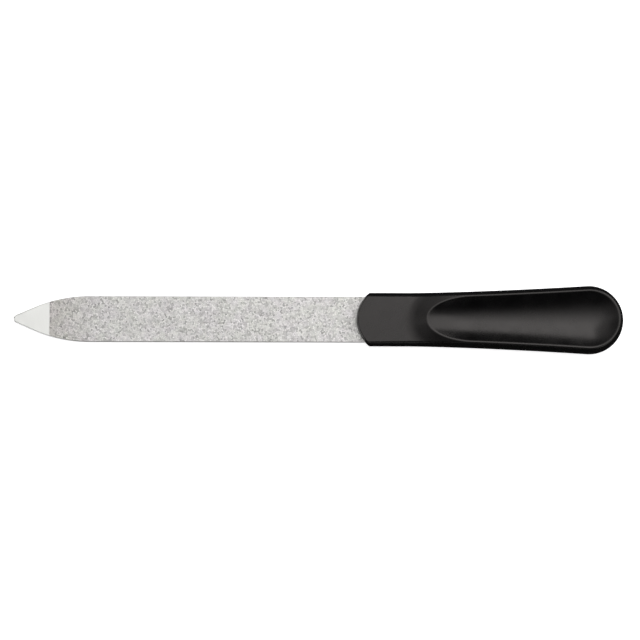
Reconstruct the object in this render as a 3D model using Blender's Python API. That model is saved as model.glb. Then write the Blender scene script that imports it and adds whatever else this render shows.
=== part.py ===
"""A sapphire nail file: a pointed steel blade, a grit coating on each of its faces, and a black moulded
handle with a thumb scoop on each side. The blade points to -X, and the handle ends at +X.

The origin is the middle of the file's length and width, at the level of the lower scoop's rim. Every piece
is symmetric about the blade's middle plane, so each is drawn about that plane and hung on one empty."""

from math import asin, atan2, copysign, cos, pi, radians, sin, tan

import bmesh
import bpy
import numpy as np
from mathutils import Vector

MM = 0.001

# Blade
BLADE_LENGTH = 90.0 * MM  # from the tip to the foremost point of the handle
BLADE_WIDTH = 12.0 * MM
STEEL_THICKNESS = 1.0 * MM
NOSE_RADIUS = 1.1 * MM
TIP_HALF_ANGLE = radians(23.3)
TIP_SHOULDER_RADIUS = 37.5 * MM  # the arc that carries the tip's flanks into the parallel edges
BEVEL_ANGLE = radians(32)  # how far the bevel falls from the face
BEVEL_WIDTH = 0.4 * MM  # round the polished nose
BEVEL_TAPER = 6.5 * MM  # the length over which it narrows to a broken edge, as far as the grit
EDGE_BREAK = 0.1 * MM  # its width along the rest of the steel

# Grit coatings
GRIT_START = 9.5 * MM  # from the tip to the line where the polished steel ends
GRIT_THICKNESS = 0.15 * MM
BOND_LINE = 0.05 * MM

# Tang, the narrow end of the blade inside the handle
TANG_SHOULDER = 5.0 * MM  # from the handle's foremost point to the step in the blade's width
TANG_LENGTH = 38.0 * MM
TANG_ROOT_WIDTH = 7.0 * MM
TANG_END_WIDTH = 5.0 * MM
TANG_CHAMFER = 1.2 * MM
TANG_HOLE_DISTANCE = 8.0 * MM  # from the step to the hole that the handle's peg fills
TANG_HOLE_RADIUS = 1.5 * MM
SOCKET_CLEARANCE = 0.3 * MM

# Handle, seen from above
HANDLE_LENGTH = 70.0 * MM
NECK_WIDTH = 14.1 * MM
FRONT_BULGE = 3.4 * MM  # how far the handle's front arc stands out past its corners
FLARE_START = 13.7 * MM
FLARE_POWER = 1.5
END_RADIUS = 9.0 * MM
RIM_FRONT = 18.2 * MM
RIM_NOSE_LENGTH = 12.3 * MM
RIM_NOSE_POWER = 2.1  # 2 is an ellipse, and more is squarer
RIM_WIDTH = 0.55 * MM

# Handle, seen from the side
NECK_THICKNESS = 4.6 * MM
RIM_THICKNESS = 7.0 * MM
WEB_THICKNESS = 3.4 * MM  # what is left between the two scoops
EDGE_ROUND = 0.2 * MM
SIDE_INSET = 1.15 * MM  # from the outline in to the top face, as the walls lean in
FRONT_INSET = 0.45 * MM
BUTT_INSET = 0.85 * MM
FAIRING_LENGTH = 5.9 * MM  # from the flat neck up to the rim
FAIRING_FOOT = 3.2 * MM  # its hollow part, below the straight ramp

# How finely the curves are divided
NOSE_STEPS = 8
TIP_SHOULDER_STEPS = 14
FRONT_RAYS = 10
NECK_RAYS = 18
FLANK_RAYS = 20
BUTT_RAYS = 16
SCOOP_STEPS = 9
WALL_STEPS = 5
RAMP_STEPS = 3
FOOT_STEPS = 6
HOLE_SIDES = 32
CORNER_CANDIDATES = 91
CORNER_ROOM = 1.5  # the ray that ends in the front corner has this many times the fairing's length
SOLVER_STEPS = 20
SMALL_TURN = radians(0.01)
SMOOTH_BELOW = radians(20)
TOUCHING = 0.0001 * MM  # points nearer than this are one
MERGE_WITHIN = 0.01 * MM

# Worked out from the sizes above
BLADE_HALF = BLADE_WIDTH / 2
STEEL_HALF = STEEL_THICKNESS / 2
COATED_HALF = STEEL_HALF + BOND_LINE + GRIT_THICKNESS
NECK_HALF = NECK_WIDTH / 2
NECK_TOP = NECK_THICKNESS / 2
RIM_TOP = RIM_THICKNESS / 2
SCOOP_DEPTH = RIM_TOP - WEB_THICKNESS / 2
FILE_LENGTH = BLADE_LENGTH + HANDLE_LENGTH
END_CENTRE = HANDLE_LENGTH - END_RADIUS
NOSE_CENTRE = RIM_FRONT + RIM_NOSE_LENGTH
FRONT_RADIUS = (NECK_HALF**2 + FRONT_BULGE**2) / (2 * FRONT_BULGE)
SHOULDER_X = BLADE_LENGTH + TANG_SHOULDER
SOCKET_OVERRUN = NECK_WIDTH / 2
RAMP_LENGTH = FAIRING_LENGTH - FAIRING_FOOT
RAMP_SLOPE = (RIM_TOP - NECK_TOP) / (RAMP_LENGTH + FAIRING_FOOT / 2)


def clear_scene():
    for obj in list(bpy.data.objects):
        bpy.data.objects.remove(obj, do_unlink=True)


def material(name, colour, roughness, metallic):
    """A Principled material of one colour."""
    made = bpy.data.materials.new(name)
    made.use_nodes = True
    shader = made.node_tree.nodes["Principled BSDF"]
    shader.inputs["Base Color"].default_value = (*colour, 1.0)
    shader.inputs["Roughness"].default_value = roughness
    shader.inputs["Metallic"].default_value = metallic
    made.diffuse_color = (*colour, 1.0)
    return made


def add_object(name, bm, parent, place):
    """A smooth-shaded object from a bmesh, sharp only where its faces really meet at an edge."""
    mesh = bpy.data.meshes.new(name)
    bm.to_mesh(mesh)
    bm.free()
    mesh.shade_smooth()
    mesh.set_sharp_from_angle(angle=SMOOTH_BELOW)
    obj = bpy.data.objects.new(name, mesh)
    bpy.context.scene.collection.objects.link(obj)
    obj.parent = parent
    obj.location = place
    return obj


def hide_tool(obj):
    """Makes an object a cutter, which is drawn as wires and left out of the part."""
    obj.hide_render = True
    obj.display_type = "WIRE"


def cut(obj, name, cutter):
    boolean = obj.modifiers.new(name, "BOOLEAN")
    boolean.operation = "DIFFERENCE"
    boolean.solver = "EXACT"
    boolean.object = cutter


def arc(centre_x, radius, start, end, steps):
    """Points on a circle whose centre lies on the file's middle line, from one angle to another."""
    angles = np.linspace(start, end, steps + 1)
    return [Vector((centre_x + radius * cos(a), radius * sin(a))) for a in angles]


def mirrored(points):
    """A closed outline, from one of its halves at +Y. Points on the middle line are used once."""
    others = [Vector((p.x, -p.y)) for p in reversed(points) if abs(p.y) > TOUCHING]
    return points + others


def stack(rings):
    """A closed bmesh from rings of 3-D points, each as long as the next, from the bottom up."""
    bm = bmesh.new()
    loops = [[bm.verts.new(point) for point in ring] for ring in rings]
    for low, high in zip(loops, loops[1:]):
        for i, vertex in enumerate(low):
            before = i - 1
            bm.faces.new((low[before], vertex, high[i], high[before]))
    bm.faces.new(reversed(loops[0]))
    bm.faces.new(loops[-1])
    bmesh.ops.recalc_face_normals(bm, faces=bm.faces)
    return bm


def raised(outline, height):
    return [Vector((p.x, p.y, height)) for p in outline]


def slab(outline, half_thickness):
    return stack([raised(outline, -half_thickness), raised(outline, half_thickness)])


def tip_edge():
    """The blade's edge at +Y: the round nose, the straight flank and the arc into the parallel edge."""
    nose = arc(NOSE_RADIUS, NOSE_RADIUS, pi, pi / 2 + TIP_HALF_ANGLE, NOSE_STEPS)
    rise = TIP_SHOULDER_RADIUS * (1 - cos(TIP_HALF_ANGLE))
    run = TIP_SHOULDER_RADIUS * sin(TIP_HALF_ANGLE)
    flank_end = nose[-1].x + (BLADE_HALF - rise - nose[-1].y) / tan(TIP_HALF_ANGLE)
    centre = Vector((flank_end + run, BLADE_HALF - TIP_SHOULDER_RADIUS))
    leans = np.linspace(TIP_HALF_ANGLE, 0, TIP_SHOULDER_STEPS + 1)
    return nose + [centre + TIP_SHOULDER_RADIUS * Vector((-sin(a), cos(a))) for a in leans]


def tang_edge(grow):
    """The tang's edge at +Y from its root to its end, grown by a clearance on every side."""
    root = TANG_ROOT_WIDTH / 2 + grow
    end = TANG_END_WIDTH / 2 + grow
    far = SHOULDER_X + TANG_LENGTH + grow
    return [
        Vector((SHOULDER_X, root)),
        Vector((far - TANG_CHAMFER, end)),
        Vector((far, end - TANG_CHAMFER)),
    ]


def blade_edge():
    """The blade's edge at +Y from its tip to the step in its width, with a point where the grit starts."""
    tip = tip_edge()
    half_width = float(np.interp(GRIT_START, [p.x for p in tip], [p.y for p in tip]))
    edge = sorted(tip + [Vector((GRIT_START, half_width))], key=lambda p: p.x)
    return edge + [Vector((SHOULDER_X, BLADE_HALF))]


def bevel_width(x):
    """How far the bevel reaches into the face at x: widest at the nose, a broken edge from the grit on."""
    taper = float(np.clip((GRIT_START - x) / BEVEL_TAPER, 0, 1))
    return EDGE_BREAK + (BEVEL_WIDTH - EDGE_BREAK) * taper


def face_outline(outline):
    """The outline of the steel's face: the blank's own, drawn in by the bevel square to its edges."""
    count = len(outline)
    drawn_in = []
    for i, point in enumerate(outline):
        behind = (point - outline[i - 1]).normalized()
        ahead = (outline[(i + 1) % count] - point).normalized()
        along = (behind + ahead) / (1 + behind.dot(ahead))
        drawn_in.append(point + Vector((along.y, -along.x)) * bevel_width(point.x))
    return drawn_in


def build_blade_core(parent):
    """The steel blank: a pointed blade with a bevelled polished tip, and a holed tang behind its step."""
    outline = mirrored(blade_edge() + tang_edge(0))
    face = face_outline(outline)
    bevel_foot = [STEEL_HALF - bevel_width(p.x) * tan(BEVEL_ANGLE) for p in outline]
    bm = stack(
        [
            raised(face, -STEEL_HALF),
            [Vector((p.x, p.y, -height)) for p, height in zip(outline, bevel_foot)],
            [Vector((p.x, p.y, height)) for p, height in zip(outline, bevel_foot)],
            raised(face, STEEL_HALF),
        ]
    )
    core = add_object("blade_core", bm, parent, (0, 0, 0))
    cut(core, "tang hole", hole_tool("tang_hole_tool", parent, TANG_HOLE_RADIUS, 2 * STEEL_THICKNESS))
    core.data.materials.append(material("polished_steel", (0.78, 0.78, 0.76), 0.22, 1.0))


def hole_tool(name, parent, radius, height):
    """A round bar across the tang, where its hole is."""
    bm = bmesh.new()
    bmesh.ops.create_cone(
        bm, cap_ends=True, segments=HOLE_SIDES, radius1=radius, radius2=radius, depth=height
    )
    tool = add_object(name, bm, parent, (SHOULDER_X + TANG_HOLE_DISTANCE, 0, 0))
    hide_tool(tool)
    return tool


def build_coating(name, side, colour, parent):
    """A layer of grit on one face of the steel, from the polished tip to the step inside the handle."""
    edge = blade_edge()
    face_edge = face_outline(mirrored(edge + tang_edge(0)))[: len(edge)]
    outline = mirrored([p for p in face_edge if p.x >= GRIT_START])
    height = side * (STEEL_HALF + BOND_LINE + GRIT_THICKNESS / 2)
    coating = add_object(name, slab(outline, GRIT_THICKNESS / 2), parent, (0, 0, height))
    coating.data.materials.append(material(name, colour, 0.75, 0.0))


def flare_end():
    """Where the flaring side meets the round end, and the angle that it has there."""
    angle = 0.0
    for _ in range(SOLVER_STEPS):
        meeting_x = END_CENTRE - END_RADIUS * sin(angle)
        flare = END_RADIUS * cos(angle) - NECK_HALF
        angle = atan2(FLARE_POWER * flare, meeting_x - FLARE_START)
    return meeting_x, flare, angle


FLARE_END, FLARE, FLARE_ANGLE = flare_end()


def side_y(x):
    """The handle's half width at x: a parallel neck, and then a side that flares ever faster."""
    share = np.clip((x - FLARE_START) / (FLARE_END - FLARE_START), 0, None)
    return NECK_HALF + FLARE * float(share**FLARE_POWER)


def side_slope(x):
    share = max((x - FLARE_START) / (FLARE_END - FLARE_START), 0.0)
    return FLARE_POWER * FLARE / (FLARE_END - FLARE_START) * share ** (FLARE_POWER - 1)


def nose_point(turn, inset):
    """A point of the scoop's rounded front: at 0 on the middle line, at a quarter turn on the side."""
    forward = copysign(abs(cos(turn)) ** (2 / RIM_NOSE_POWER), cos(turn))
    sideways = copysign(abs(sin(turn)) ** (2 / RIM_NOSE_POWER), sin(turn))
    x = NOSE_CENTRE - (RIM_NOSE_LENGTH - inset) * forward
    return Vector((x, (side_y(x) - SIDE_INSET - inset) * sideways))


def nose_normal(turn):
    """The direction square to the rim's nose, pointing away from the scoop."""
    along = nose_point(turn + SMALL_TURN, 0) - nose_point(turn - SMALL_TURN, 0)
    return Vector((-along.y, along.x)).normalized()


def side_reach(turn):
    """How far a line square to the rim's nose runs before it leaves the top face at the neck's side."""
    start = nose_point(turn, 0)
    normal = nose_normal(turn)
    reach = 0.0
    for _ in range(SOLVER_STEPS):
        room = side_y(start.x + normal.x * reach) - SIDE_INSET - start.y
        reach = min(room / max(normal.y, TOUCHING / NECK_WIDTH), FILE_LENGTH)
    return max(reach, 0.0)


def nose_turns():
    """The turns of the rays that leave the rim's nose: first those that end on the handle's front arc,
    the last of them in its corner, and then those that end on the neck's side."""
    candidates = np.linspace(0, pi / 2, CORNER_CANDIDATES)
    corner = max(turn for turn in candidates if side_reach(turn) > CORNER_ROOM * FAIRING_LENGTH)
    to_front = list(np.linspace(0, corner, FRONT_RAYS + 1))
    to_side = list(np.linspace(corner, pi / 2, NECK_RAYS + 1)[1:])
    return to_front, to_side


TO_FRONT, TO_SIDE = nose_turns()
NOSE_TURNS = TO_FRONT + TO_SIDE


def handle_line(front_inset, side_inset, butt_inset):
    """Half of the handle's outline at +Y, drawn in from its widest level: one point for each ray."""
    radius = FRONT_RADIUS - front_inset
    corner = asin((NECK_HALF - side_inset) / radius)
    points = arc(FRONT_RADIUS, radius, pi, pi - corner, FRONT_RAYS)
    for turn in TO_SIDE:
        x = nose_point(turn, 0).x + nose_normal(turn).x * side_reach(turn)
        points.append(Vector((x, side_y(x) - side_inset)))
    for x in np.linspace(NOSE_CENTRE, FLARE_END, FLANK_RAYS + 1)[1:]:
        lean = atan2(side_slope(x), 1)
        points.append(Vector((x + sin(lean) * side_inset, side_y(x) - cos(lean) * side_inset)))
    for turn in np.linspace(pi / 2 + FLARE_ANGLE, 0, BUTT_RAYS + 1)[1:]:
        inset = side_inset + (butt_inset - side_inset) * cos(turn) ** 2
        reach = END_RADIUS - inset
        points.append(Vector((END_CENTRE + reach * cos(turn), reach * sin(turn))))
    return points


def rim_line(inset):
    """Half of the scoop's rim at +Y, drawn in from the rim's outer edge: one point for each ray."""
    nose = [nose_point(turn, inset) for turn in NOSE_TURNS]
    behind = handle_line(FRONT_INSET, SIDE_INSET + inset, BUTT_INSET + inset)
    return nose + behind[len(nose) :]


def shoulder_height(distance):
    """The top face at a distance from the rim: a straight ramp, its hollow foot, and the flat neck."""
    up = max(FAIRING_LENGTH - distance, 0)
    foot = min(up, FAIRING_FOOT)
    return NECK_TOP + RAMP_SLOPE * (foot**2 / (2 * FAIRING_FOOT) + up - foot)


def shoulder_points(turn, face_edge):
    """The top face outside the rim along one ray: down the fairing, and over the flat neck."""
    start = nose_point(turn, 0)
    normal = nose_normal(turn)
    room = side_reach(turn)
    ramp = list(np.linspace(0, RAMP_LENGTH, RAMP_STEPS + 1))
    distances = ramp + list(np.linspace(RAMP_LENGTH, FAIRING_LENGTH, FOOT_STEPS + 1)[1:])
    kept = [d for d in distances if d == 0 or d < room - EDGE_ROUND]
    points = [(start + normal * d).to_3d() + Vector((0, 0, shoulder_height(d))) for d in kept]
    if room > TOUCHING:
        points.append(face_edge.to_3d() + Vector((0, 0, shoulder_height(room))))
    return points


def scoop_centres():
    """The middle-line point that each ray starts from. Those of the nose and of the butt share one."""
    flank = np.linspace(NOSE_CENTRE, END_CENTRE, FLANK_RAYS + 1)[1:]
    return [NOSE_CENTRE] * len(NOSE_TURNS) + list(flank) + [END_CENTRE] * BUTT_RAYS


def handle_rays():
    """Rows of points over a quarter of the handle, each running from the scoop's middle to the widest
    level. A row is four stretches: scoop and rim, shoulder, rounded edge, and side wall."""
    outline = handle_line(0, 0, 0)
    wall_top = handle_line(FRONT_INSET - EDGE_ROUND, SIDE_INSET - EDGE_ROUND, BUTT_INSET - EDGE_ROUND)
    face_edge = handle_line(FRONT_INSET, SIDE_INSET, BUTT_INSET)
    rim_outer = rim_line(0)
    rim_inner = rim_line(RIM_WIDTH)
    rows = []
    for i, centre_x in enumerate(scoop_centres()):
        rim = []
        for share in np.linspace(0, 1, SCOOP_STEPS + 1):
            point = Vector((centre_x, 0)).lerp(rim_inner[i], share).to_3d()
            point.z = RIM_TOP - SCOOP_DEPTH * (1 - share**2)
            rim.append(point)
        rim.append(rim_outer[i].to_3d() + Vector((0, 0, RIM_TOP)))
        shoulder = [rim[-1]]
        if i < len(NOSE_TURNS):
            shoulder = shoulder_points(NOSE_TURNS[i], face_edge[i])
        wall_height = shoulder[-1].z - EDGE_ROUND
        edge = [shoulder[-1], wall_top[i].to_3d() + Vector((0, 0, wall_height))]
        wall = []
        for share in np.linspace(1, 0, WALL_STEPS + 1):
            point = outline[i].lerp(wall_top[i], share**2).to_3d()
            point.z = wall_height * share
            wall.append(point)
        rows.append((rim, shoulder, edge, wall))
    return rows


def stitch(bm, first, second):
    """Faces between two rows of vertices. What one row has beyond the other's end becomes a fan."""
    for corners in zip(first, second, second[1:], first[1:]):
        bm.faces.new(dict.fromkeys(corners))
    shared = min(len(first), len(second))
    for near, far in zip(first[shared - 1 :], first[shared:]):
        bm.faces.new((near, second[-1], far))
    for near, far in zip(second[shared - 1 :], second[shared:]):
        bm.faces.new((first[-1], near, far))


def handle_quarter():
    """The surface of a quarter of the handle, above the middle plane and at +Y."""
    bm = bmesh.new()
    known = {}

    def vertex(point):
        key = tuple(round(value / TOUCHING) for value in point)
        if key not in known:
            known[key] = bm.verts.new(point)
        return known[key]

    rows = [[[vertex(point) for point in stretch] for stretch in row] for row in handle_rays()]
    for first, second in zip(rows, rows[1:]):
        for first_stretch, second_stretch in zip(first, second):
            stitch(bm, first_stretch, second_stretch)
    return bm


def socket_tools(parent):
    """The cutters of the handle's socket: a mouth for the coated blade, and a slot for the tang that
    leaves a peg of plastic through the tang's hole."""
    mouth_half = BLADE_HALF + SOCKET_CLEARANCE
    mouth_end = SHOULDER_X + SOCKET_CLEARANCE
    front = Vector((BLADE_LENGTH - SOCKET_OVERRUN, mouth_half))
    mouth_outline = mirrored([front, Vector((mouth_end, mouth_half))])
    mouth = add_object("mouth_tool", slab(mouth_outline, COATED_HALF + SOCKET_CLEARANCE), parent, (0, 0, 0))
    slot_outline = mirrored(tang_edge(SOCKET_CLEARANCE))
    slot = add_object("slot_tool", slab(slot_outline, STEEL_HALF + SOCKET_CLEARANCE), parent, (0, 0, 0))
    peg_radius = TANG_HOLE_RADIUS - SOCKET_CLEARANCE
    cut(slot, "peg", hole_tool("peg_tool", parent, peg_radius, RIM_THICKNESS))
    hide_tool(mouth)
    hide_tool(slot)
    return mouth, slot


def build_handle(parent):
    """The moulded handle: a quarter of it, mirrored across the file's two planes, with its socket cut."""
    handle = add_object("handle", handle_quarter(), parent, (BLADE_LENGTH, 0, 0))
    mirror = handle.modifiers.new("four quarters", "MIRROR")
    mirror.use_axis = (False, True, True)
    mirror.use_clip = True
    mirror.merge_threshold = MERGE_WITHIN
    mouth, slot = socket_tools(parent)
    cut(handle, "mouth", mouth)
    cut(handle, "tang slot", slot)
    handle.data.materials.append(material("black_plastic", (0.02, 0.02, 0.021), 0.35, 0.0))


def main():
    clear_scene()
    axis = bpy.data.objects.new("file_axis", None)
    bpy.context.scene.collection.objects.link(axis)
    axis.location = (-FILE_LENGTH / 2, 0, RIM_TOP)
    build_blade_core(axis)
    build_coating("coarse_grit_coating", 1, (0.58, 0.57, 0.56), axis)
    build_coating("fine_grit_coating", -1, (0.62, 0.61, 0.60), axis)
    build_handle(axis)


main()
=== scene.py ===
"""The looks of a sapphire nail file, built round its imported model. The steel keeps its node. A moulded
handle with rounded edges and two sheets of single grains stand for the other nodes."""

from math import asin, atan2, cos, pi, radians, sin, sqrt, tan
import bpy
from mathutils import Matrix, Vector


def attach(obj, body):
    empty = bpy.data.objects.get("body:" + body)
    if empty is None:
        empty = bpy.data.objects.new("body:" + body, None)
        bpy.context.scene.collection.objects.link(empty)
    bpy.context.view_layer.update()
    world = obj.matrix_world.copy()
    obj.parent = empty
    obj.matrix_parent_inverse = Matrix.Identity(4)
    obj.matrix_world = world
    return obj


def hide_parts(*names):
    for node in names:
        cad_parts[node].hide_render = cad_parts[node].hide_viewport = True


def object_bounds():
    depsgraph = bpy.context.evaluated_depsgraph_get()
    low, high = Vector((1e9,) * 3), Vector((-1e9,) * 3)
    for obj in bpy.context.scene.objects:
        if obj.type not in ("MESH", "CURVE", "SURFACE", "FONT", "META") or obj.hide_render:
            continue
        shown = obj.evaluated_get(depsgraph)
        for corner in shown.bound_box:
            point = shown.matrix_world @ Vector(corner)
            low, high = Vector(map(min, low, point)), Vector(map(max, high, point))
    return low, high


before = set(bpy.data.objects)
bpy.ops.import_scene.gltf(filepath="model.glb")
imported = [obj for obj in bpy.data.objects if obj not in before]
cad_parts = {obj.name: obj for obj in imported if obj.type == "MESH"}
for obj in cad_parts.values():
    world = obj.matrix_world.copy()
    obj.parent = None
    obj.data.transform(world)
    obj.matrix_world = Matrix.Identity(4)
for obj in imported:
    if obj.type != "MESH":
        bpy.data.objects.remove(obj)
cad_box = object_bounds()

from types import SimpleNamespace

import bmesh
import bpy
import numpy as np
from mathutils import Euler, Quaternion, Vector
from mathutils.geometry import delaunay_2d_cdt

MM = 0.001

# Places that the frame gives
LOW, HIGH = cad_box
MIDDLE_Z = (LOW.z + HIGH.z) / 2

# Handle, as the model has it, measured from its foremost point
HANDLE_LENGTH = 70.0 * MM
FRONT_X = HIGH.x - HANDLE_LENGTH  # where that point is in the frame
NECK_HALF = 7.05 * MM
FRONT_BULGE = 3.4 * MM
FLARE_START = 13.7 * MM
FLARE_POWER = 1.5
END_RADIUS = HIGH.y
RIM_FRONT = 18.2 * MM
RIM_NOSE_LENGTH = 12.3 * MM
RIM_NOSE_POWER = 2.1
RIM_WIDTH = 0.55 * MM
NECK_TOP = 2.3 * MM
RIM_TOP = 3.5 * MM
SCOOP_DEPTH = 1.8 * MM
SIDE_INSET = 1.15 * MM
FRONT_INSET = 0.45 * MM
BUTT_INSET = 0.85 * MM
FAIRING_LENGTH = 5.9 * MM
FAIRING_FOOT = 3.2 * MM  # its hollow part, below the straight ramp

# Socket, moulded tight round the blade
BLADE_HALF = 6.0 * MM
COATED_HALF = 0.7 * MM
SOCKET_CLEARANCE = 0.05 * MM
SHOULDER_X = 15.0 * MM
TANG_END_X = 53.0 * MM
TANG_HALF = (3.5 * MM, 2.5 * MM)

# What the handle's finish adds
CREST_DROP = 0.04 * MM  # how far the rim's two edges lie below its crest
EDGE_SOFTNESS = 0.16 * MM

# How finely the handle is divided
FRONT_RAYS = 24
NECK_RAYS = 40
FLANK_RAYS = 50
BUTT_RAYS = 36
SCOOP_STEPS = 24
CREST_STEPS = 6
FAIRING_STEPS = 16
FLAT_STEPS = 5
NEAR_EDGE = (1.5, 1.2, 0.9, 0.6, 0.3, 0.0)
WALL_LEVELS = (0.985, 0.97, 0.95, 0.93, 0.9, 0.86, 0.8, 0.7, 0.6, 0.5, 0.4, 0.3, 0.2, 0.1, 0.0)
CORNER_CANDIDATES = 181
CORNER_ROOM = 9.0 * MM
SOLVER_STEPS = 20
SMALL_TURN = radians(0.01)
SHARP_ABOVE = radians(40)
TOUCHING = 0.0001 * MM
MERGE_WITHIN = 0.0005 * MM

# Grit
COARSE_PITCH = 0.4 * MM
FINE_PITCH = 0.36 * MM
SHEET_BASE = 0.52 * MM  # above the blade's middle plane
COARSE_TOP = (0.60 * MM, 0.70 * MM)
COARSE_VALLEY = (0.55 * MM, 0.60 * MM)
FINE_TOP = (0.60 * MM, 0.66 * MM)
FINE_VALLEY = (0.56 * MM, 0.59 * MM)
COARSE_CELLS = 1.4  # cells in a grain, on the average
FINE_CELLS = 1.6
CENTRE_SHIFT = 0.42  # of the pitch: how far a cell's middle may lie from its place in the rows
ROW_SHARE = sqrt(3) / 2  # of the pitch: from one row to the next
BORDER_SHARE = 0.3  # of the pitch: cells whose middle lies nearer the border are left out
CELLS_AT_CORNER = 3
TOP_SHARES = (0.6, 0.85)  # how much of its cell a grain's flat top takes
TOP_RAGGEDNESS = 0.1
GRAIN_STRETCH = (0.2, 0.9)  # how much farther a grain reaches along its own line
GRAIN_TILT = 0.34
TONE_SPREAD = (2.6, 1.0)  # most grains are pale, and a few are dark
TONE_CONTRAST = 0.8  # how much farther a grain's tone lies from its neighbours'
# Painted shade: the tone of the cells along the sheet's border is multiplied down by this
BORDER_SHADE = 0.93
# Painted shade: the grains' flanks take this share of their tops' tone
FLANK_SHADE = 0.9
CELL_BATCHES = 16
SHEET_SEEDS = {"coarse_grit": 11, "fine_grit": 12}
OUTLINE_DIGITS = 7

# Finishes. Noise scales count features to the metre, and a range is the part of the noise that is used
BUMP_DEPTH = 0.02 * MM
PLASTIC_IOR = 1.42
PLASTIC_TINT = (0.98, 0.93, 0.91)
PLASTIC_COLOURS = ((0.001, 0.001, 0.0011), (0.0018, 0.0018, 0.002))
PLASTIC_ROUGHNESS = (0.23, 0.29)
PLASTIC_CLOUD_SCALE = 260
PLASTIC_CLOUD_RANGE = (0.3, 0.7)
PLASTIC_GRAIN_SCALE = 9000
PLASTIC_GRAIN_STRENGTH = 0.12
STEEL_COLOURS = ((0.76, 0.761, 0.737), (0.79, 0.791, 0.767))
STEEL_ROUGHNESS = (0.4, 0.5)
STEEL_CLOUD_SCALE = 150
STEEL_LINE_SCALE = 700
STEEL_LINE_STRETCH = (6, 0.5, 1)
STEEL_LINE_RANGE = (0.35, 0.65)
STEEL_LINE_STRENGTH = 0.08
GRIT_IOR = 1.77
GRIT_ROUGHNESS = (0.62, 0.42)  # of the darkest grain and of the palest
DARK_GRAIN = (0.43, 0.42, 0.413)
COARSE_COLOURS = ((0.56, 0.55, 0.545), (0.97, 0.948, 0.94))  # of the binder and of the palest grain; the binder's darker colour in the valleys also paints the shade there
FINE_COLOURS = ((0.55, 0.545, 0.535), (0.95, 0.94, 0.93))
PATCH_SCALE = 260
PATCH_RANGE = (0.38, 0.62)
PATCH_TINTS = ((0.985, 1.0, 0.97), (1.0, 0.992, 1.0))
SPECKLE_SCALE = 12000
SPECKLE_STRENGTH = 0.2
WHITE = (1.0, 1.0, 1.0)
TIP_SHADE_FADES = (  # from and to along the blade, and the tint that fades out between them: painted shade that darkens the grit towards the tip
    (-70.5 * MM, -58.0 * MM, (0.84, 0.82, 0.8)),
    (-60.0 * MM, 0.0, (0.94, 0.94, 0.94)),
)

# Camera, read from the photograph
IMAGE_WIDTH = 167.93 * MM
CAMERA_ELEVATION = radians(84.5)
CAMERA_ROLL = radians(0.137)
AIM = (0.45 * MM, -0.12 * MM, MIDDLE_Z)
LENS = 200.0
SENSOR = 36.0
CLIP_START = 0.01
CLIP_END = 20.0

# Studio
FLOOR_SIZE = 4.0
FLOOR_COLOUR = (0.86, 0.86, 0.86)
FLOOR_GLOW = 0.8
MATT_ROUGHNESS = 0.9
BACKDROP_RADIUS = 1.95
BACKDROP_HEIGHT = 0.3
BACKDROP_SIDES = 64
CARD_SIZE = (0.6, 0.4)
CARD_COLOUR = (0.012, 0.012, 0.012)
CARD_HEIGHT = 0.04 * MM
WORLD_LEVEL = 0.008
SOFTBOX_HEIGHT = 0.5
SOFTBOX_STRIPS = (  # across and along, from and to in degrees off the vertical, and the radiance
    ((-24, -17), (-16, 20), 0.15),
    ((-17, -10), (-16, 20), 0.52),
    ((-10, -3), (-16, 20), 1.05),
    ((-3, 5), (-13, 20), 1.75),
    ((5, 12), (-9, 20), 2.42),
    ((12, 20), (-3, 20), 3.05),
    ((20, 28), (3, 20), 3.15),
    ((28, 42), (2, 20), 3.2),
    ((-24, -10), (20, 45), 0.2),
    ((-10, -3), (20, 45), 1.1),
    ((-3, 5), (20, 45), 2.3),
    ((5, 12), (20, 45), 2.6),
    ((12, 42), (20, 45), 2.5),
    ((12, 20), (-24, -3), 1.0),
    ((20, 28), (-24, 3), 0.9),
    ((28, 42), (-24, 2), 0.85),
    ((5, 12), (-26, -9), 1.12),
    ((-3, 5), (-28, -13), 1.17),
    ((12, 42), (-45, -24), 0.25),
    ((5, 12), (-45, -26), 0.35),
    ((-3, 5), (-45, -28), 0.6),
    ((-24, -3), (-45, -16), 0.42),
)
LOW_LIGHTS = (  # azimuth in degrees, and radiance
    (50, 4.4),
    (20, 3.2),
    (310, 2.6),
    (130, 2.2),
    (180, 2.15),
    (230, 2.2),
)
LOW_LIGHT_DISTANCE = 1.2
LOW_LIGHT_ELEVATION = radians(22)
LOW_LIGHT_SIZE = (0.6, 0.4)


def new_object(name, data, *materials):
    obj = bpy.data.objects.new(name, data)
    bpy.context.scene.collection.objects.link(obj)
    for material in materials:
        data.materials.append(material)
    return obj


# Materials
def node_material(name):
    """A new node material, with its tree and its Principled shader."""
    made = bpy.data.materials.new(name)
    made.use_nodes = True
    return made, made.node_tree, made.node_tree.nodes["Principled BSDF"]


def attribute(tree, name):
    made = tree.nodes.new("ShaderNodeAttribute")
    made.attribute_name = name
    return made.outputs["Fac"]


def noise(tree, scale, detail, stretch=(1, 1, 1)):
    """A noise over the object's own coordinates."""
    place = tree.nodes.new("ShaderNodeTexCoord")
    mapping = tree.nodes.new("ShaderNodeMapping")
    mapping.inputs["Scale"].default_value = stretch
    made = tree.nodes.new("ShaderNodeTexNoise")
    made.inputs["Scale"].default_value = scale
    made.inputs["Detail"].default_value = detail
    tree.links.new(place.outputs["Object"], mapping.inputs["Vector"])
    tree.links.new(mapping.outputs["Vector"], made.inputs["Vector"])
    return made.outputs["Fac"]


def remap(tree, value, span, target=(0, 1)):
    """A value that runs over the target while the one given runs over the span."""
    made = tree.nodes.new("ShaderNodeMapRange")
    for socket, number in zip(("From Min", "From Max", "To Min", "To Max"), (*span, *target)):
        made.inputs[socket].default_value = number
    tree.links.new(value, made.inputs["Value"])
    return made.outputs["Result"]


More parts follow.
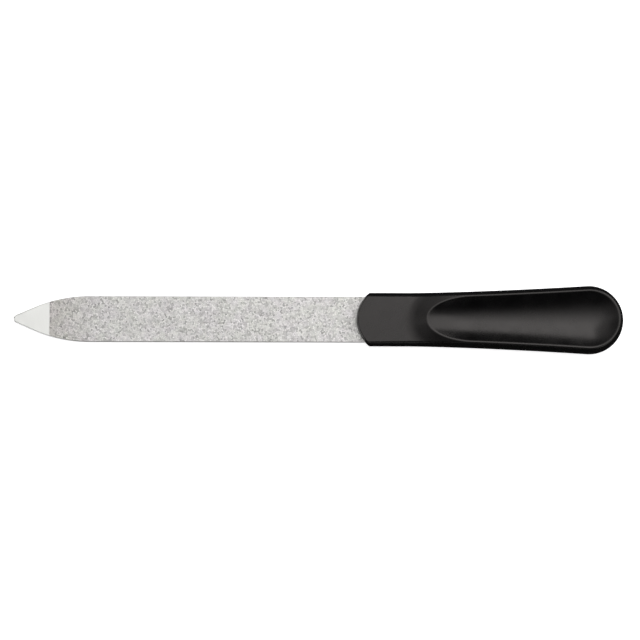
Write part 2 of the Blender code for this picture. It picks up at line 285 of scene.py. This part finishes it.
def mix(tree, kind, first, second):
    """A node that mixes two colours, each a socket or a plain colour, and its result."""
    made = tree.nodes.new("ShaderNodeMix")
    made.data_type = "RGBA"
    made.blend_type = kind
    inputs = [socket for socket in made.inputs if socket.type == "RGBA"]
    for socket, colour in zip(inputs, (first, second)):
        if isinstance(colour, tuple):
            socket.default_value = (*colour, 1.0)
        else:
            tree.links.new(colour, socket)
    return made, next(socket for socket in made.outputs if socket.type == "RGBA")


def blend(tree, share, first, second):
    made, result = mix(tree, "MIX", first, second)
    tree.links.new(share, made.inputs["Factor"])
    return result


def multiplied(tree, first, second):
    made, result = mix(tree, "MULTIPLY", first, second)
    made.inputs["Factor"].default_value = 1.0
    return result


def bump(tree, shader, height, strength):
    made = tree.nodes.new("ShaderNodeBump")
    made.inputs["Strength"].default_value = strength
    made.inputs["Distance"].default_value = BUMP_DEPTH
    tree.links.new(height, made.inputs["Height"])
    tree.links.new(made.outputs["Normal"], shader.inputs["Normal"])


def black_plastic():
    """Black moulded plastic with a satin, faintly grained surface."""
    made, tree, shader = node_material("black_plastic_satin")
    grain = noise(tree, PLASTIC_GRAIN_SCALE, detail=3)
    cloud = noise(tree, PLASTIC_CLOUD_SCALE, detail=2)
    shader.inputs["IOR"].default_value = PLASTIC_IOR
    shader.inputs["Specular Tint"].default_value = (*PLASTIC_TINT, 1.0)
    roughness = remap(tree, cloud, PLASTIC_CLOUD_RANGE, PLASTIC_ROUGHNESS)
    tree.links.new(roughness, shader.inputs["Roughness"])
    tree.links.new(blend(tree, cloud, *PLASTIC_COLOURS), shader.inputs["Base Color"])
    bump(tree, shader, grain, PLASTIC_GRAIN_STRENGTH)
    return made


def polished_steel():
    """Bright polished steel with fine grinding lines across the blade."""
    made, tree, shader = node_material("polished_steel_bright")
    lines = noise(tree, STEEL_LINE_SCALE, detail=3, stretch=STEEL_LINE_STRETCH)
    cloud = noise(tree, STEEL_CLOUD_SCALE, detail=2)
    shader.inputs["Metallic"].default_value = 1.0
    tree.links.new(blend(tree, cloud, *STEEL_COLOURS), shader.inputs["Base Color"])
    tree.links.new(remap(tree, lines, STEEL_LINE_RANGE, STEEL_ROUGHNESS), shader.inputs["Roughness"])
    bump(tree, shader, lines, STEEL_LINE_STRENGTH)
    return made


def grit_material(name, bond_and_valley_shade, grain):
    """Pale grains in a darker binder, whose colour in the valleys between grains also paints shade there:
    each grain has its own tone, and its height tells it from the binder.
    """
    made, tree, shader = node_material(name)
    tone = attribute(tree, "tone")
    depth = attribute(tree, "depth")
    # Where depth is low the binder's colour shows: the binder itself, and painted shade in the valleys
    # between grains.
    colour = blend(tree, depth, bond_and_valley_shade, blend(tree, tone, DARK_GRAIN, grain))
    patches = remap(tree, noise(tree, PATCH_SCALE, detail=2), PATCH_RANGE)
    colour = multiplied(tree, colour, blend(tree, patches, *PATCH_TINTS))
    place = tree.nodes.new("ShaderNodeTexCoord")
    along = tree.nodes.new("ShaderNodeSeparateXYZ")
    tree.links.new(place.outputs["Object"], along.inputs["Vector"])
    # Painted shade: the grit darkens towards the tip, fading out along the blade.
    for start, end, tint in TIP_SHADE_FADES:
        share = remap(tree, along.outputs["X"], (start, end))
        colour = multiplied(tree, colour, blend(tree, share, tint, WHITE))
    tree.links.new(colour, shader.inputs["Base Color"])
    shader.inputs["IOR"].default_value = GRIT_IOR
    tree.links.new(remap(tree, tone, (0, 1), GRIT_ROUGHNESS), shader.inputs["Roughness"])
    bump(tree, shader, noise(tree, SPECKLE_SCALE, detail=2), SPECKLE_STRENGTH)
    return made


# Handle
FRONT_RADIUS = (NECK_HALF**2 + FRONT_BULGE**2) / (2 * FRONT_BULGE)
END_CENTRE = HANDLE_LENGTH - END_RADIUS
NOSE_CENTRE = RIM_FRONT + RIM_NOSE_LENGTH
RIM_EDGE_Z = RIM_TOP - CREST_DROP


def flare_end():
    """Where the flaring side meets the round end, and the angle that it has there."""
    angle = 0.0
    for _ in range(SOLVER_STEPS):
        meeting_x = END_CENTRE - END_RADIUS * sin(angle)
        flare = END_RADIUS * cos(angle) - NECK_HALF
        angle = atan2(FLARE_POWER * flare, meeting_x - FLARE_START)
    return meeting_x, flare, angle


FLARE_END, FLARE, FLARE_ANGLE = flare_end()


def side_y(x):
    """The handle's half width at x: a parallel neck, and then a side that flares ever faster."""
    share = max((x - FLARE_START) / (FLARE_END - FLARE_START), 0.0)
    return NECK_HALF + FLARE * share**FLARE_POWER


def side_slope(x):
    share = max((x - FLARE_START) / (FLARE_END - FLARE_START), 0.0)
    return FLARE_POWER * FLARE / (FLARE_END - FLARE_START) * share ** (FLARE_POWER - 1)


def nose_point(turn, inset):
    """A point of the scoop's rounded front: at 0 on the middle line, at a quarter turn on the side."""
    forward = np.sign(cos(turn)) * abs(cos(turn)) ** (2 / RIM_NOSE_POWER)
    sideways = np.sign(sin(turn)) * abs(sin(turn)) ** (2 / RIM_NOSE_POWER)
    x = NOSE_CENTRE - (RIM_NOSE_LENGTH - inset) * forward
    return Vector((x, (side_y(x) - SIDE_INSET - inset) * sideways))


def nose_normal(turn):
    """The direction square to the rim's nose, pointing away from the scoop."""
    along = nose_point(turn + SMALL_TURN, 0) - nose_point(turn - SMALL_TURN, 0)
    return Vector((-along.y, along.x)).normalized()


def side_reach(turn):
    """How far a line square to the rim's nose runs before it leaves the top face at the neck's side."""
    start = nose_point(turn, 0)
    normal = nose_normal(turn)
    reach = 0.0
    for _ in range(SOLVER_STEPS):
        room = side_y(start.x + normal.x * reach) - SIDE_INSET - start.y
        reach = min(room / max(normal.y, TOUCHING / NECK_HALF), HANDLE_LENGTH)
    return max(reach, 0.0)


def nose_turns():
    """The turns of the rays that leave the rim's nose: first those that end on the handle's front arc,
    the last of them in its corner, and then those that end on the neck's side."""
    candidates = np.linspace(0, pi / 2, CORNER_CANDIDATES)
    corner = max(turn for turn in candidates if side_reach(turn) > CORNER_ROOM)
    return list(np.linspace(0, corner, FRONT_RAYS + 1)), list(np.linspace(corner, pi / 2, NECK_RAYS + 1)[1:])


TO_FRONT, TO_SIDE = nose_turns()
NOSE_TURNS = TO_FRONT + TO_SIDE


def handle_line(front_inset, side_inset, butt_inset):
    """Half of the handle's outline at +Y, drawn in from its widest level: one point for each ray."""
    radius = FRONT_RADIUS - front_inset
    corner = asin((NECK_HALF - side_inset) / radius)
    turns = np.linspace(0, corner, FRONT_RAYS + 1)
    points = [Vector((FRONT_RADIUS - radius * cos(turn), radius * sin(turn))) for turn in turns]
    for turn in TO_SIDE:
        x = nose_point(turn, 0).x + nose_normal(turn).x * side_reach(turn)
        points.append(Vector((x, side_y(x) - side_inset)))
    for x in np.linspace(NOSE_CENTRE, FLARE_END, FLANK_RAYS + 1)[1:]:
        lean = atan2(side_slope(x), 1)
        points.append(Vector((x + sin(lean) * side_inset, side_y(x) - cos(lean) * side_inset)))
    for turn in np.linspace(pi / 2 + FLARE_ANGLE, 0, BUTT_RAYS + 1)[1:]:
        reach = END_RADIUS - side_inset - (butt_inset - side_inset) * cos(turn) ** 2
        points.append(Vector((END_CENTRE + reach * cos(turn), reach * sin(turn))))
    return points


def rim_line(inset):
    """Half of the scoop's rim at +Y, drawn in from the rim's outer edge: one point for each ray."""
    nose = [nose_point(turn, inset) for turn in NOSE_TURNS]
    behind = handle_line(FRONT_INSET, SIDE_INSET + inset, BUTT_INSET + inset)
    return nose + behind[len(nose) :]


def shoulder_height(distance):
    """The top face at a distance from the rim: a straight ramp, its hollow foot, and the flat neck."""
    up = max(FAIRING_LENGTH - distance, 0)
    slope = (RIM_EDGE_Z - NECK_TOP) / (FAIRING_LENGTH - FAIRING_FOOT / 2)
    foot = min(up, FAIRING_FOOT)
    return NECK_TOP + slope * (foot**2 / (2 * FAIRING_FOOT) + up - foot)


def shoulder_row(ray, face_edge):
    """The top face outside the rim along one ray: its points, heights and distances to the face's edge."""
    if ray >= len(NOSE_TURNS):
        start, bend, room = face_edge, face_edge, 0.0
    else:
        turn = NOSE_TURNS[ray]
        start = nose_point(turn, 0)
        bend = start + nose_normal(turn) * min(FAIRING_LENGTH, side_reach(turn))
        room = (bend - start).length + (face_edge - bend).length
    to_bend = (bend - start).length
    distances = np.concatenate(
        [
            np.linspace(0, to_bend, FAIRING_STEPS + 1)[1:],
            np.linspace(to_bend, room, FLAT_STEPS + 1)[1:-1],
            room - EDGE_SOFTNESS * np.array(NEAR_EDGE),
        ]
    )
    distances = np.sort(np.clip(distances, 0, room))
    points = []
    for d in distances:
        if d <= to_bend:
            points.append(start.lerp(bend, d / max(to_bend, TOUCHING)))
        else:
            points.append(bend.lerp(face_edge, (d - to_bend) / max(room - to_bend, TOUCHING)))
    return points, [shoulder_height(d) for d in distances], list(room - distances)


def soft_min(first, second, reach):
    """The lesser of two heights, rounded where they are nearly the same."""
    nearness = np.clip(1 - np.abs(first - second) / reach, 0, 1)
    return np.minimum(first, second) - nearness**2 * reach / 4


def handle_row(ray, centre, rim_inner, rim_outer, face_edge, outline):
    """The points of one ray: over the scoop, the rim and the top face, and down the side wall."""
    points = []
    heights = []
    for share in np.linspace(0, 1, SCOOP_STEPS + 1):
        points.append(centre.lerp(rim_inner, share))
        heights.append(RIM_EDGE_Z - (SCOOP_DEPTH - CREST_DROP) * (1 - share**2))
    for share in np.linspace(0, 1, CREST_STEPS + 1)[1:]:
        points.append(rim_inner.lerp(rim_outer, share))
        heights.append(RIM_TOP - CREST_DROP * (2 * share - 1) ** 2)
    shoulder, shoulder_heights, beyond = shoulder_row(ray, face_edge)
    room = (rim_outer - face_edge).length if ray < len(NOSE_TURNS) else 0.0
    to_edge = [room + (p - rim_outer).length for p in points] + beyond
    points += shoulder
    heights += shoulder_heights
    inset = (outline - face_edge).length
    for level in WALL_LEVELS:
        points.append(outline.lerp(face_edge, level**2))
        heights.append(shoulder_heights[-1])
        to_edge.append(-inset * (1 - level**2))
    wall = shoulder_heights[-1] * np.sqrt(np.clip(1 + np.array(to_edge) / inset, 0, None))
    rounded = np.where(wall < TOUCHING, 0, soft_min(np.array(heights), wall, EDGE_SOFTNESS))
    return [Vector((p.x, p.y, max(z, 0))) for p, z in zip(points, rounded)]


def handle_rows():
    flank = list(np.linspace(NOSE_CENTRE, END_CENTRE, FLANK_RAYS + 1)[1:])
    centres = [NOSE_CENTRE] * len(NOSE_TURNS) + flank + [END_CENTRE] * BUTT_RAYS
    face_edge = handle_line(FRONT_INSET, SIDE_INSET, BUTT_INSET)
    lines = zip(centres, rim_line(RIM_WIDTH), rim_line(0), face_edge, handle_line(0, 0, 0))
    return [handle_row(ray, Vector((centre, 0)), *line) for ray, (centre, *line) in enumerate(lines)]


def handle_skin():
    """The handle's whole surface: a quarter of it, repeated across the file's two planes."""
    bm = bmesh.new()
    known = {}

    def vertex(point, side, face):
        place = (point.x, point.y * side, point.z * face)
        key = tuple(round(value / MERGE_WITHIN) for value in place)
        if key not in known:
            known[key] = bm.verts.new(place)
        return known[key]

    rows = handle_rows()
    for side in (1, -1):
        for face in (1, -1):
            grid = [[vertex(point, side, face) for point in row] for row in rows]
            for first, second in zip(grid, grid[1:]):
                for corners in zip(first, second, second[1:], first[1:]):
                    corners = list(dict.fromkeys(corners))
                    if len(corners) > 2 and bm.faces.get(corners) is None:
                        bm.faces.new(corners)
    bmesh.ops.recalc_face_normals(bm, faces=bm.faces)
    mesh = bpy.data.meshes.new("handle_skin")
    bm.to_mesh(mesh)
    bm.free()
    return mesh


def socket_mesh():
    """The blade's end and its tang, grown by the socket's clearance: what the handle is hollowed by."""
    half = BLADE_HALF + SOCKET_CLEARANCE
    root, end = (size + SOCKET_CLEARANCE for size in TANG_HALF)
    step = SHOULDER_X + SOCKET_CLEARANCE
    far = TANG_END_X + SOCKET_CLEARANCE
    edge = [(FRONT_X - half, half), (step, half), (step, root), (far, end)]
    outline = edge + [(x, -y) for x, y in reversed(edge)]
    height = COATED_HALF + SOCKET_CLEARANCE
    bm = bmesh.new()
    low, high = ([bm.verts.new((x, y, MIDDLE_Z + z)) for x, y in outline] for z in (-height, height))
    for i in range(len(outline)):
        bm.faces.new((low[i - 1], low[i], high[i], high[i - 1]))
    bm.faces.new(low)
    bm.faces.new(high)
    bmesh.ops.recalc_face_normals(bm, faces=bm.faces)
    mesh = bpy.data.meshes.new("socket")
    bm.to_mesh(mesh)
    bm.free()
    return mesh


def build_handle(material):
    handle = new_object("handle_skin", handle_skin(), material)
    handle.location = (FRONT_X, 0, MIDDLE_Z)
    socket = new_object("socket", socket_mesh())
    hollow = handle.modifiers.new("socket", "BOOLEAN")
    hollow.solver = "EXACT"
    hollow.object = socket
    bpy.context.view_layer.update()
    cut = bpy.data.meshes.new_from_object(handle.evaluated_get(bpy.context.evaluated_depsgraph_get()))
    handle.modifiers.clear()
    handle.data = cut
    bpy.data.objects.remove(socket, do_unlink=True)
    cut.shade_smooth()
    cut.set_sharp_from_angle(angle=SHARP_ABOVE)
    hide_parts("handle")
    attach(handle, "root")


# Grit
def hull(points):
    """The convex outline of a set of 2-D points, anticlockwise."""
    points = sorted(set(points))

    def chain(some):
        kept = []
        for p in some:
            while len(kept) > 1:
                (ax, ay), (bx, by) = kept[-2:]
                if (bx - ax) * (p[1] - ay) - (by - ay) * (p[0] - ax) > 0:
                    break
                kept.pop()
            kept.append(p)
        return kept[:-1]

    return np.array(chain(points) + chain(points[::-1]))


def inside_by(points, outline):
    """How far each point lies inside a convex outline; less than nothing outside."""
    ahead = np.roll(outline, -1, axis=0) - outline
    inward = np.stack([-ahead[:, 1], ahead[:, 0]], 1) / np.linalg.norm(ahead, axis=1)[:, None]
    return ((points[:, None, :] - outline[None]) * inward[None]).sum(2).min(1)


def snapped(points, outline):
    """The nearest places on the outline to the points of a loop, in the loop's order."""
    ahead = np.roll(outline, -1, axis=0) - outline
    share = ((points[:, None, :] - outline[None]) * ahead[None]).sum(2) / (ahead**2).sum(1)[None]
    share = np.clip(share, 0, 1)
    nearest = outline[None] + share[:, :, None] * ahead[None]
    best = np.linalg.norm(points[:, None, :] - nearest, axis=2).argmin(1)
    along = best + share[np.arange(len(points)), best]
    along = np.roll(np.sort(along), along.argmin())
    segment = np.minimum(along.astype(int), len(outline) - 1)
    return outline[segment] + (along - segment)[:, None] * ahead[segment]


def strewn(outline, pitch, rng):
    """Points strewn over an outline and a little past it, about a pitch apart."""
    low, high = outline.min(0) - 2 * pitch, outline.max(0) + 2 * pitch
    columns, rows = ((high - low) / pitch / (1, ROW_SHARE)).astype(int) + 1
    row, column = (grid.ravel() for grid in np.meshgrid(np.arange(rows), np.arange(columns), indexing="ij"))
    places = low + np.stack([column + row % 2 / 2, row * ROW_SHARE], 1) * pitch
    return places + rng.uniform(-CENTRE_SHIFT, CENTRE_SHIFT, places.shape) * pitch


def cells_over(outline, pitch, rng):
    """Irregular cells over an outline: the places of their corners, and each cell's corners in order."""
    sites = [Vector(place) for place in strewn(outline, pitch, rng)]
    points, _, triangles, *_ = delaunay_2d_cdt(sites, [], [], 0, TOUCHING)
    points = np.array([tuple(p) for p in points])
    middles = points[np.array(triangles)].mean(1)
    around = [[] for _ in points]
    for i, triangle in enumerate(triangles):
        for point in triangle:
            around[point].append(i)
    cells = []
    for point in np.flatnonzero(inside_by(points, outline) > BORDER_SHARE * pitch):
        away = middles[around[point]] - points[point]
        order = np.arctan2(away[:, 1], away[:, 0]).argsort()
        cells.append([around[point][i] for i in order])
    used = sorted({corner for cell in cells for corner in cell})
    place_of = {corner: i for i, corner in enumerate(used)}
    return middles[used], [[place_of[corner] for corner in cell] for cell in cells]


def border_edges(cells):
    """The edges that only one cell has, in that cell's direction."""
    edges = [edge for cell in cells for edge in zip(cell, cell[1:] + cell[:1])]
    known = set(edges)
    return [(a, b) for a, b in edges if (b, a) not in known]


def loop_order(edges):
    """The border's corners, one after another round the sheet."""
    following = dict(edges)
    loop = [edges[0][0]]
    while following[loop[-1]] != loop[0]:
        loop.append(following[loop[-1]])
    return loop


def grains_of(middles, count, rng):
    """The grain of each cell: its nearest seed, where each seed reaches farther along its own line."""
    seeds = rng.uniform(middles.min(0), middles.max(0), (count, 2))
    turns = rng.uniform(0, pi, count)
    lines = np.stack([np.cos(turns), np.sin(turns)], 1)
    stretch = rng.uniform(*GRAIN_STRETCH, count)
    grains = []
    for some in np.array_split(middles, CELL_BATCHES):
        away = some[:, None, :] - seeds[None]
        distance = (away**2).sum(2) - stretch * (away * lines[None]).sum(2) ** 2
        grains.append(distance.argmin(1))
    return np.concatenate(grains)


def joined_share(grains):
    """How far a corner lies inside a grain: 1 where its three cells are one grain, 0 where all differ."""
    if len(grains) < CELLS_AT_CORNER:
        return 0.0
    return (CELLS_AT_CORNER - len(set(grains))) / (CELLS_AT_CORNER - 1)


def joined_shares(cells, grains, count):
    around = [[] for _ in range(count)]
    for cell, grain in zip(cells, grains.tolist()):
        for corner in cell:
            around[corner].append(grain)
    return np.array([joined_share(some) for some in around])


def coating_cells(node, pitch, mean_cells, rng):
    """The cells and the grains over the outline of a coating's node. Entry i of flat is one corner of the
    cell that entry i of owner names."""
    made = SimpleNamespace()
    places = [(v.co.x, v.co.y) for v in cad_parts[node].data.vertices]
    outline = hull([(round(x, OUTLINE_DIGITS), round(y, OUTLINE_DIGITS)) for x, y in places])
    made.corners, cells = cells_over(outline, pitch, rng)
    made.edges = border_edges(cells)
    made.loop = loop_order(made.edges)
    made.corners[made.loop] = snapped(made.corners[made.loop], outline)
    made.sizes = np.array([len(cell) for cell in cells])
    made.owner = np.repeat(np.arange(len(cells)), made.sizes)
    made.flat = np.concatenate(cells)
    sums = [np.bincount(made.owner, made.corners[made.flat, axis]) for axis in (0, 1)]
    made.centres = np.stack(sums, 1) / made.sizes[:, None]
    made.grain_count = int(len(cells) / mean_cells)
    made.grains = grains_of(made.centres, made.grain_count, rng)
    made.joined = joined_shares(cells, made.grains, len(made.corners))
    return made


def sheet_points(cells, tops, valleys, rng):
    """The points of a sheet that lies face up: the cells' corners, those of the grains' flat tops, and the
    foot of the skirt round the border."""
    flat, owner = cells.flat, cells.owner
    ragged = rng.uniform(-TOP_RAGGEDNESS, TOP_RAGGEDNESS, len(flat))
    shares = rng.uniform(*TOP_SHARES, len(cells.sizes))[owner] + ragged
    reach = (cells.corners[flat] - cells.centres[owner]) * shares[:, None]
    tilt = rng.normal(0, GRAIN_TILT, (cells.grain_count, 2))[cells.grains]
    levels = rng.uniform(*tops, cells.grain_count)[cells.grains]
    top_heights = np.clip(levels[owner] + (reach * tilt[owner]).sum(1), valleys[0], tops[1])
    beside = np.zeros(len(cells.corners))
    beside[flat] = levels[owner]
    heights = rng.uniform(*valleys, len(cells.corners))
    heights += np.maximum(beside - heights, 0) * cells.joined
    parts = (
        (cells.corners, heights),
        (cells.centres[owner] + reach, top_heights),
        (cells.corners[cells.loop], np.full(len(cells.loop), SHEET_BASE)),
    )
    return np.concatenate([np.column_stack(part) for part in parts])


def sheet_faces(cells):
    """The cells' tops, their flanks, the skirt round the border and the flat back."""
    first_top = len(cells.corners)
    first_skirt = first_top + len(cells.flat)
    top_ids = np.arange(first_top, first_skirt)
    ends = np.cumsum(cells.sizes)
    ahead = np.arange(1, len(cells.flat) + 1)
    ahead[ends - 1] = ends - cells.sizes
    tops = [ids.tolist() for ids in np.split(top_ids, ends[:-1])]
    flanks = np.stack([cells.flat, cells.flat[ahead], top_ids[ahead], top_ids], 1).tolist()
    skirt_of = {corner: first_skirt + i for i, corner in enumerate(cells.loop)}
    skirt = [[b, a, skirt_of[a], skirt_of[b]] for a, b in cells.edges]
    back = [skirt_of[corner] for corner in reversed(cells.loop)]
    return [*tops, *flanks, *skirt, back]


def cell_tones(cells, rng):
    """Each cell's tone: its grain's, set off against its neighbours', and darker at the border, which is
    painted shade along the sheet's edge.
    """
    flat, owner = cells.flat, cells.owner
    tones = rng.beta(*TONE_SPREAD, cells.grain_count)[cells.grains]
    at_corners = np.bincount(flat, tones[owner]) / np.bincount(flat)
    nearby = np.bincount(owner, at_corners[flat]) / cells.sizes
    tones = np.clip(tones + TONE_CONTRAST * (tones - nearby), 0, 1)
    # Painted shade along the sheet's edge
    tones[owner[np.isin(flat, cells.loop)]] *= BORDER_SHADE
    return tones


def add_values(mesh, name, domain, *parts):
    """An attribute for the material, given in parts; it is 0 on what is left."""
    count = len(mesh.polygons if domain == "FACE" else mesh.vertices)
    values = np.zeros(count)
    given = np.concatenate(parts)
    values[: len(given)] = given
    mesh.attributes.new(name, "FLOAT", domain).data.foreach_set("value", values)


def grain_sheet(name, node, pitch, mean_cells, tops, valleys, side, material):
    """A closed sheet of truncated grains over the outline of a coating's node."""
    rng = np.random.default_rng(SHEET_SEEDS[name])
    cells = coating_cells(node, pitch, mean_cells, rng)
    points = sheet_points(cells, tops, valleys, rng)
    points[:, 2] = MIDDLE_Z + side * points[:, 2]
    faces = sheet_faces(cells)
    if side < 0:
        faces = [face[::-1] for face in faces]
    mesh = bpy.data.meshes.new(name)
    mesh.from_pydata(points.tolist(), [], faces)
    tones = cell_tones(cells, rng)
    # The flanks are darker than the grains' tops: painted shade on their sloping sides.
    add_values(mesh, "tone", "FACE", tones, tones[cells.owner] * FLANK_SHADE)
    # Depth is 0 at the valleys' corners, where the binder's colour shows and paints shade between the
    # grains.
    add_values(mesh, "depth", "POINT", cells.joined, np.ones(len(cells.flat)))
    sheet = new_object(name, mesh, material)
    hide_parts(node)
    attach(sheet, "root")


# Camera and studio
def build_camera():
    """A long lens nearly straight above the file, tilted and turned as in the photograph."""
    data = bpy.data.cameras.new("camera")
    data.lens = LENS
    data.sensor_width = SENSOR
    camera = new_object("camera", data)
    distance = IMAGE_WIDTH * LENS / SENSOR
    back = Vector((0, -cos(CAMERA_ELEVATION), sin(CAMERA_ELEVATION)))
    camera.location = Vector(AIM) + back * distance
    camera.rotation_mode = "QUATERNION"
    look = Euler((pi / 2 - CAMERA_ELEVATION, 0, 0)).to_quaternion()
    camera.rotation_quaternion = look @ Quaternion((0, 0, 1), CAMERA_ROLL)
    data.clip_start = CLIP_START
    data.clip_end = CLIP_END
    bpy.context.scene.camera = camera


def area_light(name, place, size, radiance):
    """A rectangular light that faces the file, as bright as the radiance says."""
    data = bpy.data.lights.new(name, "AREA")
    data.shape = "RECTANGLE"
    data.size, data.size_y = size
    data.energy = radiance * pi * size[0] * size[1]
    light = new_object(name, data)
    light.location = place
    light.visible_camera = False
    return light


def build_lights():
    for i, (across, along, radiance) in enumerate(SOFTBOX_STRIPS):
        near, far, left, right = (SOFTBOX_HEIGHT * tan(radians(lean)) for lean in across + along)
        place = ((left + right) / 2, (near + far) / 2, SOFTBOX_HEIGHT)
        area_light(f"softbox_{i}", place, (right - left, far - near), radiance)
    for azimuth, radiance in LOW_LIGHTS:
        turn = radians(azimuth)
        away = Vector((cos(turn), sin(turn), tan(LOW_LIGHT_ELEVATION))).normalized()
        light = area_light(f"low_light_{azimuth}", away * LOW_LIGHT_DISTANCE, LOW_LIGHT_SIZE, radiance)
        light.rotation_euler = away.to_track_quat("Z", "Y").to_euler()


def flat_sheet(name, size, height, material):
    x, y = size[0] / 2, size[1] / 2
    mesh = bpy.data.meshes.new(name)
    corners = [(-x, -y, height), (x, -y, height), (x, y, height), (-x, y, height)]
    mesh.from_pydata(corners, [], [(0, 1, 2, 3)])
    sheet = new_object(name, mesh, material)
    return sheet


def build_card():
    """A dark card under the file, which only its reflections see: the photograph's sides are black."""
    made, _, shader = node_material("dark_card")
    shader.inputs["Base Color"].default_value = (*CARD_COLOUR, 1.0)
    shader.inputs["Roughness"].default_value = MATT_ROUGHNESS
    card = flat_sheet("dark_card", CARD_SIZE, LOW.z + CARD_HEIGHT, made)
    card.visible_camera = False
    card.visible_diffuse = False
    card.visible_shadow = False
    card.visible_transmission = False


def pale_floor():
    """A pale material that shows white, and still takes the file's shadow."""
    made, tree, shader = node_material("pale_floor")
    shader.inputs["Base Color"].default_value = (*FLOOR_COLOUR, 1.0)
    shader.inputs["Roughness"].default_value = MATT_ROUGHNESS
    shader.inputs["Specular IOR Level"].default_value = 0.0
    path = tree.nodes.new("ShaderNodeLightPath")
    seen = path.outputs["Is Camera Ray"]
    for kind in ("Is Glossy Ray", "Is Transmission Ray"):
        join = tree.nodes.new("ShaderNodeMath")
        join.operation = "MAXIMUM"
        tree.links.new(seen, join.inputs[0])
        tree.links.new(path.outputs[kind], join.inputs[1])
        seen = join.outputs[0]
    strength = tree.nodes.new("ShaderNodeMath")
    strength.operation = "MULTIPLY"
    strength.inputs[1].default_value = FLOOR_GLOW
    tree.links.new(seen, strength.inputs[0])
    glow = tree.nodes.new("ShaderNodeEmission")
    tree.links.new(strength.outputs[0], glow.inputs["Strength"])
    both = tree.nodes.new("ShaderNodeAddShader")
    tree.links.new(shader.outputs["BSDF"], both.inputs[0])
    tree.links.new(glow.outputs["Emission"], both.inputs[1])
    tree.links.new(both.outputs[0], tree.nodes["Material Output"].inputs["Surface"])
    return made


def build_floor():
    """The floor, and a low ring round it as a backdrop."""
    material = pale_floor()
    flat_sheet("floor", (FLOOR_SIZE, FLOOR_SIZE), LOW.z, material)
    turns = np.linspace(0, 2 * pi, BACKDROP_SIDES, endpoint=False)
    ring = [(BACKDROP_RADIUS * cos(turn), BACKDROP_RADIUS * sin(turn)) for turn in turns]
    places = [(x, y, LOW.z + rise) for rise in (0, BACKDROP_HEIGHT) for x, y in ring]
    lower = [(i, (i + 1) % BACKDROP_SIDES) for i in range(BACKDROP_SIDES)]
    mesh = bpy.data.meshes.new("backdrop")
    mesh.from_pydata(places, [], [(b, a, a + BACKDROP_SIDES, b + BACKDROP_SIDES) for a, b in lower])
    new_object("backdrop", mesh, material)


def build_world():
    world = bpy.data.worlds.new("dim room")
    world.use_nodes = True
    background = world.node_tree.nodes["Background"]
    background.inputs["Color"].default_value = (*WHITE, 1.0)
    background.inputs["Strength"].default_value = WORLD_LEVEL
    bpy.context.scene.world = world
    bpy.context.scene.view_settings.view_transform = "Standard"


def main():
    build_camera()
    build_world()
    build_lights()
    build_floor()
    build_card()
    build_handle(black_plastic())
    coarse = grit_material("coarse_grit_corundum", *COARSE_COLOURS)
    fine = grit_material("fine_grit_corundum", *FINE_COLOURS)
    coarse_look = (COARSE_PITCH, COARSE_CELLS, COARSE_TOP, COARSE_VALLEY)
    fine_look = (FINE_PITCH, FINE_CELLS, FINE_TOP, FINE_VALLEY)
    grain_sheet("coarse_grit", "coarse_grit_coating", *coarse_look, 1, coarse)
    grain_sheet("fine_grit", "fine_grit_coating", *fine_look, -1, fine)
    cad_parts["blade_core"].material_slots[0].material = polished_steel()


main()
